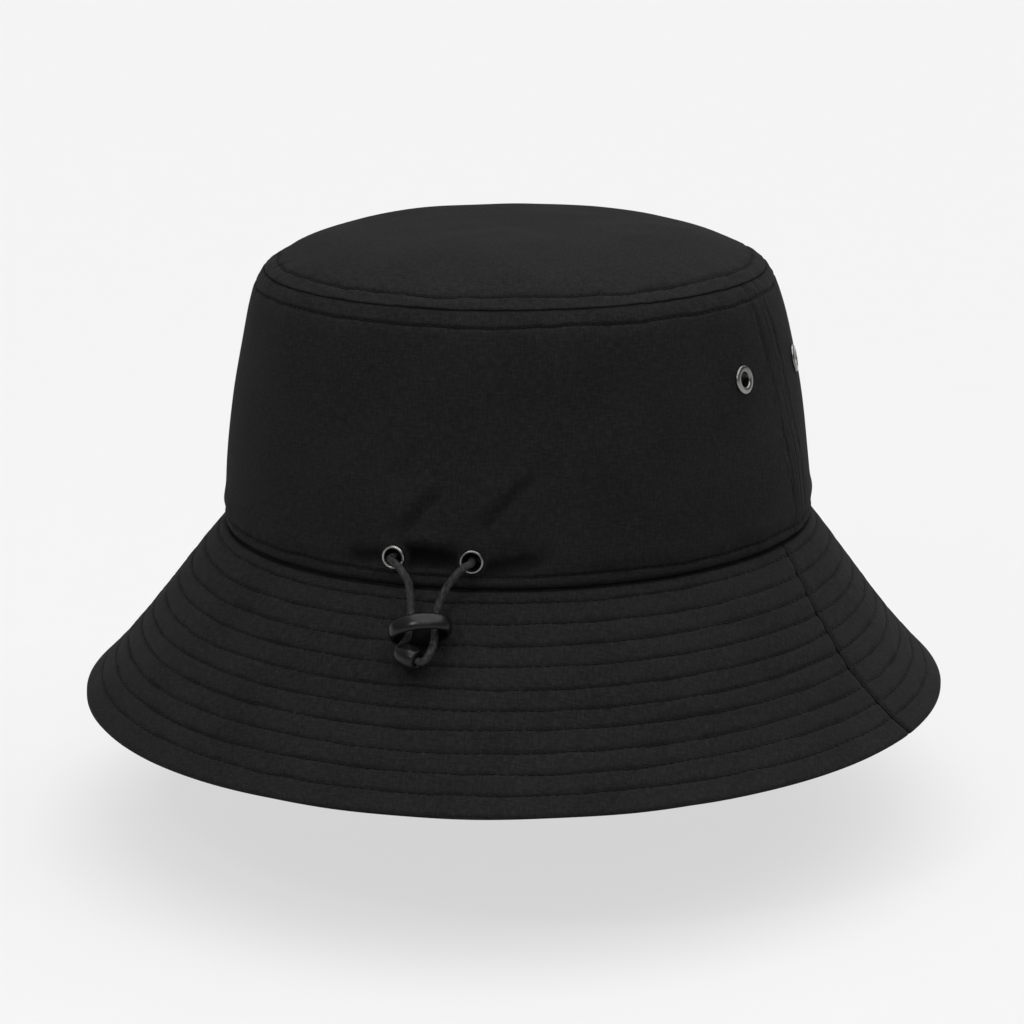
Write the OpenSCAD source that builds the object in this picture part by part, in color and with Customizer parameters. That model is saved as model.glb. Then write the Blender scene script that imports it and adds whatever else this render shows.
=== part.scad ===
// Bucket hat with a quilted brim, a drawcord at the back of the crown and metal eyelets.
// +Z is up, the back of the hat faces -Y, and the brim's edge lies in the plane z = 0.
// Ovals are given by half their length (front to back) and half their width.

/* [Crown] */
// Half length of the crown where it meets the brim, front to back
base_half_len = 98; // [94:1:102]
// Half width of the crown where it meets the brim
base_half_wid = 87; // [84:1:92]
// Half length of the crown at the top seam
top_half_len = 83; // [80:1:88]
// Half width of the crown at the top seam
top_half_wid = 74; // [71:1:79]
// Height of the side band, from the brim seam to the top seam
band_h = 74.5; // [68:0.5:82]
// How far the side band puffs out beyond a straight cone
band_puff = 3.6; // [1:0.1:5]
// Rise of the top panel above the top seam
tip_rise = 11.6; // [8:0.1:15]
// Angle from the middle of the back to the right side seam of the crown
crown_seam_deg = 80; // [75:5:90]
// How much further round the left side's crown and brim seams are
left_seam_shift = 20; // [0:5:25]

/* [Brim] */
// Height of the brim seam above the brim's edge
brim_drop = 51; // [46:0.5:56]
// How far the brim's edge stands out beyond the crown
brim_reach = 42.5; // [38:0.5:46]
// How far the brim hollows between the seam and its edge
brim_hollow = 1.6; // [0.5:0.1:2.5]
// Angle from the middle of the back to the right side seam of the brim
brim_seam_deg = 75; // [70:5:90]

/* [Cloth] */
// Thickness of the crown's cloth
crown_cloth = 0.6; // [0.5:0.05:0.8]
// Thickness of each ply of the brim, measured level
brim_ply = 0.8; // [0.6:0.05:1]
// Thickness of the stiff layer inside the brim, measured level
stiffener_ply = 0.9; // [0.6:0.05:1.2]
// Thickness of the sweatband
sweatband_cloth = 0.8; // [0.6:0.05:1]
// Thickness of the tapes that cover the seams inside
tape_cloth = 0.45; // [0.3:0.05:0.6]
// Depth of the sweatband's channel, where the drawcord runs
channel_depth = 4.4; // [4.2:0.1:5]

/* [Eyelets] */
// Inner radius of a vent eyelet
vent_r = 2.05; // [1.8:0.05:2.3]
// Radius of a vent eyelet's rim
vent_rim_r = 4.1; // [3.8:0.05:4.4]
// Angle from a side seam to the vent eyelet on each side of it
vent_spread_deg = 14.5; // [12:0.5:18]
// Height of the vent eyelets above the brim seam
vent_h = 49; // [44:1:54]
// Inner radius of a drawcord eyelet
cord_hole_r = 2.3; // [2:0.05:2.4]
// Radius of a drawcord eyelet's rim
cord_rim_r = 3.35; // [3.2:0.05:3.6]
// Angle from the middle of the back to each drawcord eyelet
cord_hole_deg = 7.25; // [7:0.05:7.5]
// Height of the drawcord eyelets above the brim seam
cord_hole_h = 7.9; // [7.7:0.1:8.1]
// Thickness of the sheet metal of the eyelets
eyelet_sheet = 0.35; // [0.3:0.05:0.45]

/* [Drawcord] */
// Diameter of the elastic cord
cord_d = 2.2; // [2:0.1:2.4]
// Length of the stopper ring across both runs of the cord
stopper_w = 17.2; // [16.8:0.1:17.6]
// Depth of the stopper ring, away from the brim
stopper_depth = 12; // [11.8:0.1:12.2]
// Width of the stopper's band, along the cord
stopper_band = 4.8; // [4.4:0.1:5]
// Thickness of the stopper's wall
stopper_wall = 2.1; // [1.9:0.1:2.3]
// Tilt of the stopper, left end down
stopper_tilt = 13; // [8:1:15]
// Radius of the bead that joins the ends of the cord
bead_r = 2.8; // [2.6:0.1:2.9]

/* [Hidden] */

cloth_color = [0.045, 0.045, 0.048];
lining_color = [0.07, 0.07, 0.075];
metal_color = [0.62, 0.62, 0.60];
plastic_color = [0.03, 0.03, 0.032];

// Every layer has its corners at the same angles, so that layers lie face to face.
facet_deg = 5;

// Rows of the side band, as shares of its height
band_rows = [0, 0.03, 0.07, 0.14, 0.21, 0.30, 0.42, 0.56, 0.70, 0.80, 0.88, 0.95, 1];
sweatband_rows = [for (s = band_rows) if (s <= 0.42) s];
side_tape_rows = [for (s = band_rows) if (s >= 0.42 && s <= 0.80) s];
top_tape_rows = [for (s = band_rows) if (s >= 0.80 && s <= 0.95) s];
channel_top = 0.28;
// Rows of the brim and of the top panel, as shares of their way outward
brim_rows = [0, 0.15, 0.3, 0.45, 0.6, 0.75, 0.9, 1];
tip_rows = [1, 0.97, 0.92, 0.84, 0.7, 0.5, 0.25];

band_puff_low_power = 5;
band_puff_high_power = 12;
tip_power = 5;
brim_hollow_skew = 2.6;

function mix(a, b, t) = a + (b - a) * t;
function reversed(list) = [for (i = [len(list) - 1 : -1 : 0]) list[i]];

// ---- ovals: each is [half length, half width, height], moved inward by the distance d ----

function band_bulge(s) =
    band_puff * (1 - pow(s, band_puff_high_power)) * (1 - pow(1 - s, band_puff_low_power));

function band_oval(s, d) = [
    mix(base_half_len, top_half_len, s) + band_bulge(s) - d,
    mix(base_half_wid, top_half_wid, s) + band_bulge(s) - d,
    brim_drop + band_h * s];

function hollow_at(u) = 4 * brim_hollow * u * (1 - u) * (1 + brim_hollow_skew * (u - 0.5));

function brim_oval(u, d) = [
    base_half_len + brim_reach * u - d,
    base_half_wid + brim_reach * u - d,
    brim_drop * (1 - u) - hollow_at(u)];

function tip_oval(t, d) = [
    (top_half_len - d) * t,
    (top_half_wid - d) * t,
    brim_drop + band_h + (tip_rise - d) * (1 - pow(t, tip_power))];

function channel_at(s) = s >= channel_top ? 0 : channel_depth * sin(180 * s / channel_top);

function oval_point(oval, deg) = [oval[1] * sin(deg), -oval[0] * cos(deg), oval[2]];

// Closed strip of ovals: the outer ones upward, then the inner ones back down
function band_strip(rows, outer_d, inner_d) = concat(
    [for (s = rows) band_oval(s, outer_d)],
    [for (s = reversed(rows)) band_oval(s, inner_d)]);

function brim_strip(outer_d, inner_d) = concat(
    [for (u = reversed(brim_rows)) brim_oval(u, outer_d)],
    [for (u = brim_rows) brim_oval(u, inner_d)]);

// ---- shells ----

// Two triangles between the corners a, b of one angle and c, d of the next. The inner half of a
// strip is split the other way, so that a layer's triangles match those of the layer it lies on.
function split(a, b, c, d, half, inner) =
    inner ? (half == 0 ? [a, b, d] : [b, c, d]) : (half == 0 ? [a, b, c] : [a, c, d]);

// Panel that follows a strip of ovals from one angle to another
module panel(strip, from_deg, to_deg) {
    steps = round((to_deg - from_deg) / facet_deg);
    n = len(strip);
    points = [for (i = [0 : steps], oval = strip) oval_point(oval, from_deg + i * facet_deg)];
    sides = [for (i = [0 : steps - 1], j = [0 : n - 1], half = [0, 1])
        let (a = i * n + j, b = i * n + (j + 1) % n)
        split(a, b, b + n, a + n, half, j >= n / 2)];
    first_end = [for (j = [0 : n / 2 - 2], half = [0, 1])
        let (a = j, b = j + 1, c = n - 2 - j, d = n - 1 - j)
        half == 0 ? [a, c, b] : [a, d, c]];
    last_end = [for (face = first_end) [for (k = reversed(face)) k + steps * n]];
    polyhedron(points, concat(sides, first_end, last_end));
}

// Ring that follows a strip of ovals all the way round
module ring(strip) {
    steps = round(360 / facet_deg);
    n = len(strip);
    points = [for (i = [0 : steps - 1], oval = strip) oval_point(oval, i * facet_deg)];
    faces = [for (i = [0 : steps - 1], j = [0 : n - 1], half = [0, 1])
        let (next = ((i + 1) % steps) * n, j2 = (j + 1) % n)
        split(i * n + j, i * n + j2, next + j2, next + j, half, j >= n / 2)];
    polyhedron(points, faces);
}

// Cap that follows the top panel's ovals and closes at its middle
module cap(outer_d, inner_d) {
    steps = round(360 / facet_deg);
    strip = concat([for (t = reversed(tip_rows)) tip_oval(t, inner_d)],
                   [for (t = tip_rows) tip_oval(t, outer_d)]);
    n = len(strip);
    grid = [for (i = [0 : steps - 1], oval = strip) oval_point(oval, i * facet_deg)];
    under_middle = len(grid);
    top_middle = len(grid) + 1;
    sides = [for (i = [0 : steps - 1], j = [0 : n - 2], half = [0, 1])
        let (a = i * n + j, c = ((i + 1) % steps) * n + j)
        half == 0 ? [a, c + 1, a + 1] : [a, c, c + 1]];
    under_fan = [for (i = [0 : steps - 1]) [under_middle, ((i + 1) % steps) * n, i * n]];
    top_fan = [for (i = [0 : steps - 1])
        [top_middle, i * n + n - 1, ((i + 1) % steps) * n + n - 1]];
    middles = [oval_point(tip_oval(0, inner_d), 0), oval_point(tip_oval(0, outer_d), 0)];
    polyhedron(concat(grid, middles), concat(sides, under_fan, top_fan));
}

// ---- places on the side band ----

function band_point(deg, h) = oval_point(band_oval(h / band_h, 0), deg);

function unit(v) = v / norm(v);

function band_normal(deg, h) = unit(cross(
    band_point(deg + 0.5, h) - band_point(deg - 0.5, h),
    band_point(deg, h + 0.5) - band_point(deg, h - 0.5)));

// Stands its children on the side band, with their +Z pointing straight out of it
module on_band(deg, h) {
    out = band_normal(deg, h);
    translate(band_point(deg, h))
        rotate([0, acos(out[2]), atan2(out[1], out[0])])
            children();
}

left_crown_seam = -crown_seam_deg - left_seam_shift;
vent_degs = [for (seam = [left_crown_seam, crown_seam_deg], step = [-1, 1])
    seam + step * vent_spread_deg];
back_vent_degs = [for (deg = vent_degs) if (deg > left_crown_seam && deg < crown_seam_deg) deg];
front_vent_degs = [for (deg = vent_degs) if (deg < left_crown_seam || deg > crown_seam_deg) deg];
cord_hole_degs = [-cord_hole_deg, cord_hole_deg];

module holes(degs, h, r) {
    for (deg = degs)
        on_band(deg, h)
            translate([0, 0, -4])
                cylinder(h = 8, r = r, $fn = 48);
}

// ---- eyelets ----

washer_gap = 0.02;
rim_h = 0.85;
rim_points = 8;

// The washers sit this far in from the cloth, because the cloth is curved and they are flat.
washer_seat = 0.3;
washer_low = -crown_cloth - washer_seat - eyelet_sheet;

// One eyelet: a domed rim on the cloth, a barrel through it and a rolled end inside
module eyelet(r, rim_r) {
    barrel_r = r + eyelet_sheet;
    rim = [for (i = [0 : rim_points])
        let (angle = 180 * i / rim_points, mid = (r + rim_r) / 2)
        [mid + (rim_r - r) / 2 * cos(angle), rim_h * sin(angle)]];
    rotate_extrude($fn = 48)
        polygon(rim);
    translate([0, 0, washer_low - eyelet_sheet])
        difference() {
            cylinder(h = -washer_low + 2 * eyelet_sheet, r = barrel_r, $fn = 48);
            translate([0, 0, -1])
                cylinder(h = 4, r = r, $fn = 48);
        }
    translate([0, 0, washer_low - eyelet_sheet])
        rotate_extrude($fn = 48)
            translate([barrel_r, 0])
                circle(r = eyelet_sheet, $fn = 24);
}

module washer(r, rim_r) {
    translate([0, 0, washer_low])
        difference() {
            cylinder(h = eyelet_sheet, r = rim_r, $fn = 48);
            translate([0, 0, -1])
                cylinder(h = 3, r = r + eyelet_sheet + washer_gap, $fn = 48);
        }
}

module vent_eyelets() {
    color(metal_color)
        for (deg = vent_degs)
            on_band(deg, vent_h)
                eyelet(vent_r, vent_rim_r);
}

module vent_eyelet_washers() {
    color(metal_color)
        for (deg = vent_degs)
            on_band(deg, vent_h)
                washer(vent_r, vent_rim_r);
}

module cord_eyelets() {
    color(metal_color)
        for (deg = cord_hole_degs)
            on_band(deg, cord_hole_h)
                eyelet(cord_hole_r, cord_rim_r);
}

module cord_eyelet_washers() {
    color(metal_color)
        for (deg = cord_hole_degs)
            on_band(deg, cord_hole_h)
                washer(cord_hole_r, cord_rim_r);
}

// ---- crown ----

module crown_tip() {
    color(cloth_color)
        cap(0, crown_cloth);
}

module crown_panel_back() {
    color(cloth_color)
        difference() {
            panel(band_strip(band_rows, 0, crown_cloth), left_crown_seam, crown_seam_deg);
            holes(back_vent_degs, vent_h, vent_r + eyelet_sheet);
            holes(cord_hole_degs, cord_hole_h, cord_hole_r + eyelet_sheet);
        }
}

module crown_panel_front() {
    color(cloth_color)
        difference() {
            panel(band_strip(band_rows, 0, crown_cloth), crown_seam_deg, 360 + left_crown_seam);
            holes(front_vent_degs, vent_h, vent_r + eyelet_sheet);
        }
}

module top_seam_tape() {
    color(lining_color)
        ring(band_strip(top_tape_rows, crown_cloth, crown_cloth + tape_cloth));
}

module side_seam_tape(middle_deg) {
    color(lining_color)
        panel(band_strip(side_tape_rows, crown_cloth, crown_cloth + tape_cloth),
              middle_deg - facet_deg, middle_deg + facet_deg);
}

module side_seam_tape_left() side_seam_tape(left_crown_seam);
module side_seam_tape_right() side_seam_tape(crown_seam_deg);

// The sweatband lies against the side band, and bows inward round the drawcord.
module sweatband() {
    color(lining_color)
        ring(concat(
            [for (s = sweatband_rows) band_oval(s, crown_cloth + channel_at(s))],
            [for (s = reversed(sweatband_rows))
                band_oval(s, crown_cloth + channel_at(s) + sweatband_cloth)]));
}

// ---- brim ----

stiffener_d = brim_ply;
lower_ply_d = brim_ply + stiffener_ply;
left_brim_seam = -brim_seam_deg - left_seam_shift;

module brim_ply_panel(d, from_deg, to_deg) {
    color(cloth_color)
        panel(brim_strip(d, d + brim_ply), from_deg, to_deg);
}

module brim_upper_back() brim_ply_panel(0, left_brim_seam, brim_seam_deg);
module brim_upper_front() brim_ply_panel(0, brim_seam_deg, 360 + left_brim_seam);
module brim_lower_back() brim_ply_panel(lower_ply_d, left_brim_seam, brim_seam_deg);
module brim_lower_front() brim_ply_panel(lower_ply_d, brim_seam_deg, 360 + left_brim_seam);

module brim_stiffener() {
    color(lining_color)
        ring(brim_strip(stiffener_d, stiffener_d + stiffener_ply));
}

// ---- drawcord ----

// The free loop starts and ends on this line, just outside the mouths of the two eyelets.
hinge_y = -99.2;
hinge_z = 58.9;
// Middle of the free loop of cord, from the left eyelet through the stopper and the bead
loop_route = [
    [-11.3, hinge_y, hinge_z], [-10.3, -100.9, 58.7], [-8.6, -102.3, 58.1],
    [-6.6, -103.5, 56.4], [-4.9, -104.4, 54.0], [-4.1, -105.4, 51.4],
    [-3.6, -106.4, 49.0], [-3.1, -108.0, 46.3], [-2.8, -109.7, 44.5],
    [-2.6, -111.6, 42.8], [-2.7, -113.2, 41.0], [-3.8, -114.0, 39.4],
    [-4.8, -114.3, 38.2], [-5.1, -114.3, 37.3], [-4.3, -114.6, 37.0],
    [-2.4, -115.8, 36.7], [-0.5, -116.9, 36.4], [1.4, -118.1, 36.1],
    [2.4, -118.5, 36.0], [3.3, -118.5, 36.4], [4.1, -118.0, 37.3],
    [4.7, -116.9, 38.7], [4.9, -115.3, 39.9], [4.8, -113.6, 41.0],
    [4.5, -111.8, 42.5], [4.1, -109.9, 44.2], [3.9, -107.9, 46.5],
    [4.2, -106.4, 48.9], [5.0, -105.4, 51.4], [6.4, -104.4, 54.0],
    [8.2, -103.4, 56.5], [9.9, -102.0, 58.2], [10.9, -100.7, 58.8],
    [11.3, hinge_y, hinge_z]];
loop_up = [0, -0.767, 0.639];
cord_sides = 8;
cord_r = cord_d / 2;

// Hidden run of the drawcord: where it lies in the channel, and its turn into the eyelet
hidden_d = 2.3;
hidden_first_deg = 20;
hidden_step_deg = 10;
hidden_turn = [[7.25, -0.9], [7.25, 0.6], [7.25, 1.9], [7.9, 2.8], [9.6, 3.1], [13, 2.7]];

function hidden_point(deg, d) = oval_point(band_oval(cord_hole_h / band_h, d), deg);

hidden_route = concat(
    [for (turn = hidden_turn) hidden_point(turn[0], turn[1])],
    [for (deg = [hidden_first_deg : hidden_step_deg : 360 - hidden_first_deg])
        hidden_point(deg, hidden_d)],
    [for (turn = reversed(hidden_turn)) hidden_point(-turn[0], turn[1])]);

// Round tube along a route, with the radius of each of its rings
module tube(route, radii, up) {
    n = len(route);
    ahead = [for (i = [0 : n - 1]) unit(route[min(i + 1, n - 1)] - route[max(i - 1, 0)])];
    points = [for (i = [0 : n - 1], k = [0 : cord_sides - 1])
        let (side = unit(cross(ahead[i], up)), top = cross(side, ahead[i]),
             angle = 360 * (k + 0.5) / cord_sides)
        route[i] + radii[i] * (side * cos(angle) + top * sin(angle))];
    sides = [for (i = [0 : n - 2], k = [0 : cord_sides - 1], half = [0, 1])
        let (a = i * cord_sides + k, b = i * cord_sides + (k + 1) % cord_sides)
        half == 0 ? [a, b, b + cord_sides] : [a, b + cord_sides, a + cord_sides]];
    first_end = [[for (k = [cord_sides - 1 : -1 : 0]) k]];
    last_end = [[for (k = [0 : cord_sides - 1]) (n - 1) * cord_sides + k]];
    polyhedron(points, concat(sides, first_end, last_end));
}

// The loop's ends are rounded about the line that it swings on.
end_back = [0.95, 0.6];
end_r = [0.45, 0.9];

module drawcord_loop() {
    n = len(loop_route);
    start_back = unit(loop_route[0] - loop_route[1]);
    finish_back = unit(loop_route[n - 1] - loop_route[n - 2]);
    route = concat([for (back = end_back) loop_route[0] + back * start_back], loop_route,
                   [for (back = reversed(end_back)) loop_route[n - 1] + back * finish_back]);
    radii = concat(end_r, [for (p = loop_route) cord_r], reversed(end_r));
    color(cloth_color)
        tube(route, radii, loop_up);
}

module drawcord_hidden_run() {
    color(cloth_color)
        tube(hidden_route, [for (p = hidden_route) cord_r], [0, 0, 1]);
}

// The stopper's middle, and the slope of the brim that it lies on
stopper_middle = [0.6, -112.6, 43.4];
brim_slope = atan2(brim_drop, brim_reach);
stopper_steps = 64;
stopper_arc_deg = [-90 : 22.5 : 90];

// Section of the stopper's wall: [outward, along the cord], with both edges fully rounded
stopper_section = [for (end = [1, -1], arc = stopper_arc_deg)
    [-end * stopper_wall / 2 * sin(arc),
     end * (stopper_band / 2 - stopper_wall / 2 + stopper_wall / 2 * cos(arc))]];

// The stopper is an oval ring: its wall's section follows an ellipse.
module cord_stopper() {
    half_w = (stopper_w - stopper_wall) / 2;
    half_depth = (stopper_depth - stopper_wall) / 2;
    n = len(stopper_section);
    points = [for (i = [0 : stopper_steps - 1], corner = stopper_section)
        let (angle = 360 * i / stopper_steps,
             outward = unit([cos(angle) / half_w, sin(angle) / half_depth, 0]))
        [half_w * cos(angle), half_depth * sin(angle), corner[1]] + corner[0] * outward];
    faces = [for (i = [0 : stopper_steps - 1], j = [0 : n - 1], half = [0, 1])
        let (next = ((i + 1) % stopper_steps) * n, a = i * n + j, b = i * n + (j + 1) % n)
        half == 0 ? [a, b, next + (j + 1) % n] : [a, next + (j + 1) % n, next + j]];
    color(plastic_color)
        translate(stopper_middle)
            rotate([brim_slope - 90, 0, 0])
                rotate([0, -stopper_tilt, 0])
                    polyhedron(points, faces);
}

bead_start = loop_route[14];
bead_end = loop_route[17];
bead_end_r = 2.4;

module cord_bead() {
    run = bead_end - bead_start;
    length = norm(run);
    color(plastic_color)
        translate(bead_start)
            rotate([0, acos(run[2] / length), atan2(run[1], run[0])])
                difference() {
                    union() {
                        cylinder(h = length / 4, r1 = bead_end_r, r2 = bead_r, $fn = 48);
                        translate([0, 0, length / 4])
                            cylinder(h = length / 2, r = bead_r, $fn = 48);
                        translate([0, 0, length * 3 / 4])
                            cylinder(h = length / 4, r1 = bead_r, r2 = bead_end_r, $fn = 48);
                    }
                    translate([0, 0, -1])
                        cylinder(h = length + 2, r = cord_r, $fn = 48);
                }
}

crown_tip();
crown_panel_back();
crown_panel_front();
top_seam_tape();
side_seam_tape_left();
side_seam_tape_right();
brim_upper_back();
brim_upper_front();
brim_stiffener();
brim_lower_back();
brim_lower_front();
sweatband();
vent_eyelets();
vent_eyelet_washers();
cord_eyelets();
cord_eyelet_washers();
drawcord_hidden_run();
drawcord_loop();
cord_stopper();
cord_bead();
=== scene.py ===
import math

import bmesh
import bpy
import numpy as np
from mathutils import Matrix, Vector


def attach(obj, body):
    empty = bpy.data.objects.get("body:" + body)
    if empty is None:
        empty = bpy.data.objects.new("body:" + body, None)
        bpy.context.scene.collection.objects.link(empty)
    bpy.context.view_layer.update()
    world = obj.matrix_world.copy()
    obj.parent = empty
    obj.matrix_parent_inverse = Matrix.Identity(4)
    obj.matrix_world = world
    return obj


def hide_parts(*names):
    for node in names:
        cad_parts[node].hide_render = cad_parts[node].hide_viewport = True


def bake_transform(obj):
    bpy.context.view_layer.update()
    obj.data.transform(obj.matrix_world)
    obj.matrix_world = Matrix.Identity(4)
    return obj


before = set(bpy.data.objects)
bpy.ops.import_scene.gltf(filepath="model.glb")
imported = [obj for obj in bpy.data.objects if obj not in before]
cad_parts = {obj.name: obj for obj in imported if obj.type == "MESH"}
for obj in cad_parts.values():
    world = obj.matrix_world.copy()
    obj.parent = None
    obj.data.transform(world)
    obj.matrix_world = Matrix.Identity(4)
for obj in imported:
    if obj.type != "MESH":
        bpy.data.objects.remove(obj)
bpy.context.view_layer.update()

# Everything below is worked out in millimetres, in the CAD model's frame: +Z is up and the
# back of the hat faces -Y. Angles run from the middle of the back towards +X, in degrees.
MM = 0.001

# ---- sizes of the CAD model ----

BASE_LEN, BASE_WID = 98.0, 87.0
TOP_LEN, TOP_WID = 83.0, 74.0
BAND_H, BAND_PUFF = 74.5, 3.6
TIP_RISE = 11.6
BRIM_DROP, BRIM_REACH, BRIM_HOLLOW = 51.0, 42.5, 1.6
BRIM_THICK = 2.5
CROWN_CLOTH = 0.6
CHANNEL_DEPTH, CHANNEL_TOP = 4.4, 0.28
VENT_R, VENT_RIM_R = 2.05, 4.1
VENTS = ((-114.5, 48.4), (-85.5, 50.0), (65.8, 50.0), (94.8, 48.4))
CORD_HOLE_R, CORD_RIM_R = 2.3, 3.35
CORD_HOLE_DEG, CORD_HOLE_H = 7.25, 7.9
CORD_HOLES = ((-CORD_HOLE_DEG, CORD_HOLE_H), (CORD_HOLE_DEG, CORD_HOLE_H))
SHEET_METAL = 0.35
WASHER_SEAT = 0.3
CORD_R = 1.1
SWEATBAND_TOP = 31.3
TAPE_LOW, TAPE_TOP = 59.6, 70.8
LINING_GAP = 0.03

# ---- seams and rows of stitches ----

BRIM_SLOPE = 66.5
BRIM_ROWS = (3.8, 10.0, 16.0, 21.9, 27.9, 33.6, 39.2, 45.5, 51.6, 58.0)
BASE_ROW, TOP_ROW, TIP_ROW = 3.7, 70.3, 4.3
STITCH_PITCH = 2.6
GROOVE, PUFF = 0.4, 0.1
# The side seams lean: angle of each at a share of the way up the band, or down the brim.
# These are the right side's; the left side's mirror them, further round.
LEFT_SHIFT = 20.0
BAND_SEAM = ((0.0, 83.2), (0.3, 83.2), (0.55, 81.6), (0.8, 79.2), (1.0, 77.2))
BAND_ROW_BACK = ((0.0, 80.2), (0.3, 79.4), (0.55, 78.4), (0.8, 75.8), (1.0, 74.4))
BAND_ROW_FRONT = ((0.0, 86.2), (0.3, 87.0), (0.55, 84.9), (0.8, 82.5), (1.0, 79.9))
BRIM_SEAM = ((0.0, 75.2), (0.3, 72.6), (0.6, 72.2), (0.85, 74.0), (1.0, 75.2))
SEAM_HALF_GAP = 0.04

# ---- layers of the brim: how far each lies below the smooth face of its cloth ----

DEEPEST_CREASE = 0.78
PLY_BACK = 0.86
STIFFENER_TOP, STIFFENER_LOW = 0.88, 1.02

# ---- painted shade: how the material darkens the cloth, creases by their depth, the rest by a share ----

CREASE_SHADE_START = 0.12
BAND_CREASE_SHADE, TIP_CREASE_SHADE, BRIM_CREASE_SHADE = 1.6, 0.7, 0.4
SEAM_PAINTED_SHADE, SEAM_PAINTED_SHADE_WIDTH = 0.8, 0.4
SIDE_PAINTED_SHADE = 0.2

# ---- grids: points along each piece ----

CROWN_COLS, TIP_COLS, BRIM_COLS, LINING_COLS, CORE_COLS = 365, 560, 310, 480, 240


def mix(a, b, t):
    return a + (b - a) * t


def along(table, share):
    xs, ys = zip(*table)
    return np.interp(share, xs, ys)


def stacked(*parts):
    return np.stack(np.broadcast_arrays(*parts), axis=-1)


def bell(x, width):
    return np.exp(-((x / width) ** 2))


def ease(x):
    x = np.clip(x, 0, 1)
    return x * x * (3 - 2 * x)


def full_turn(cols):
    return np.linspace(0, 360, cols, endpoint=False)


def unit(v):
    length = np.linalg.norm(v, axis=-1, keepdims=True)
    return v / np.maximum(length, 1e-12)


# ---- noise that repeats after a full turn of the hat ----


def lattice(ix, iy, seed):
    h = (ix * 374761393 + iy * 668265263 + seed * 974634777) & 0xFFFFFFFF
    h = ((h ^ (h >> 13)) * 1274126177) & 0xFFFFFFFF
    return ((h ^ (h >> 16)) & 0xFFFF) / 32767.5 - 1


def noise(x, y, seed, period=1 << 20):
    """Smooth noise from -1 to 1, with one wave to a unit or so; x repeats after a period."""
    x, y = np.broadcast_arrays(np.asarray(x, float), np.asarray(y, float))
    ix, iy = np.floor(x).astype(np.int64), np.floor(y).astype(np.int64)
    fx, fy = ease(x - ix), ease(y - iy)
    left, right = ix % period, (ix + 1) % period
    low, high = (mix(lattice(left, y, seed), lattice(right, y, seed), fx) for y in (iy, iy + 1))
    return mix(low, high, fy)


def ring_noise(deg, y, cells, seed):
    return noise(np.asarray(deg) * (cells / 360), y, seed, cells)


# ---- the ovals that the hat is built on: half length, half width and height ----


def band_oval(h, inward=0.0):
    s = np.asarray(h) / BAND_H
    bulge = BAND_PUFF * (1 - s**12) * (1 - (1 - s) ** 5)
    return (
        mix(BASE_LEN, TOP_LEN, s) + bulge - inward,
        mix(BASE_WID, TOP_WID, s) + bulge - inward,
        BRIM_DROP + BAND_H * s,
    )


def tip_oval(t):
    rise = TIP_RISE * (1 - np.abs(t) ** 5)
    return TOP_LEN * t, TOP_WID * t, BRIM_DROP + BAND_H + rise


SLOPE_OUT, SLOPE_DOWN = BRIM_REACH / BRIM_SLOPE, BRIM_DROP / BRIM_SLOPE
EDGE_R = BRIM_THICK * SLOPE_DOWN / 2
EDGE_START = BRIM_SLOPE - EDGE_R * (1 + SLOPE_OUT) / SLOPE_DOWN + 0.35
# The underside's face lies this much further down the slope than the outer face above it.
UNDER_SHIFT = BRIM_THICK * SLOPE_OUT


def brim_oval(w, under=False):
    """One face of the brim, w mm down from the brim seam; at the edge it turns to the other."""
    edge = EDGE_START + (UNDER_SHIFT if under else 0)
    w = np.asarray(w, float)
    u = np.minimum(w, edge) / BRIM_SLOPE
    reach = BRIM_REACH * u - (BRIM_THICK if under else 0)
    hollow = 4 * BRIM_HOLLOW * u * (1 - u) * (1 + 2.6 * (u - 0.5))
    z = BRIM_DROP * (1 - u) - hollow
    side = -1 if under else 1
    turn = np.maximum(w - edge, 0) / EDGE_R
    across, onward = side * EDGE_R * (np.cos(turn) - 1), EDGE_R * np.sin(turn)
    reach = reach + SLOPE_DOWN * across + SLOPE_OUT * onward
    return BASE_LEN + reach, BASE_WID + reach, z + SLOPE_OUT * across - SLOPE_DOWN * onward


def lean(z):
    """The soft cloth sits a little over to one side, most of all at the brim seam."""
    return np.interp(z, (0, BRIM_DROP, BRIM_DROP + BAND_H), (0.35, 1.2, 0.0))


def oval_point(oval, deg):
    length, width, z = oval
    turn = np.radians(deg)
    x = width * np.sin(turn) + lean(z) * np.sin(turn) ** 2
    return stacked(x, -length * np.cos(turn), z)


class Cloth:
    """One face of the cloth over (angle, distance), raised along its normal by a relief."""

    def __init__(self, oval, relief, facing):
        self.oval, self.relief, self.facing = oval, relief, facing

    def base(self, deg, v):
        return oval_point(self.oval(v), deg)

    def normal(self, deg, v):
        across = self.base(deg + 0.05, v) - self.base(deg - 0.05, v)
        up = self.base(deg, v + 1e-3) - self.base(deg, v - 1e-3)
        return unit(np.cross(across, up)) * self.facing

    def at(self, deg, v, lift=0.0):
        deg, v = np.broadcast_arrays(np.asarray(deg, float), np.asarray(v, float))
        height = self.relief(deg, v) + lift
        return self.base(deg, v) + self.normal(deg, v) * height[..., None]


# ---- relief of each face of the cloth, in mm ----


def sewn(distance):
    """A row of stitches pulls the cloth in, and the cloth beside it puffs out."""
    return PUFF * (1 - bell(distance, 1.9)) - GROOVE * bell(distance, 0.45)


def puckers(deg, distance, cells, seed, height=0.2):
    """Short creases that cross a row of stitches."""
    fine = ring_noise(deg, distance / 3.2, cells, seed)
    broad = ring_noise(deg, distance / 5.0, cells // 3, seed + 50)
    return height * (0.6 * fine + 0.7 * broad) * bell(distance, 2.7)


def wobble(deg, cells, seed):
    """A sewn line's small wandering, in mm."""
    slow, quick = ring_noise(deg, 0.5, cells, seed), ring_noise(deg, 1.5, cells * 4, seed)
    return 0.3 * slow + 0.26 * quick


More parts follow.
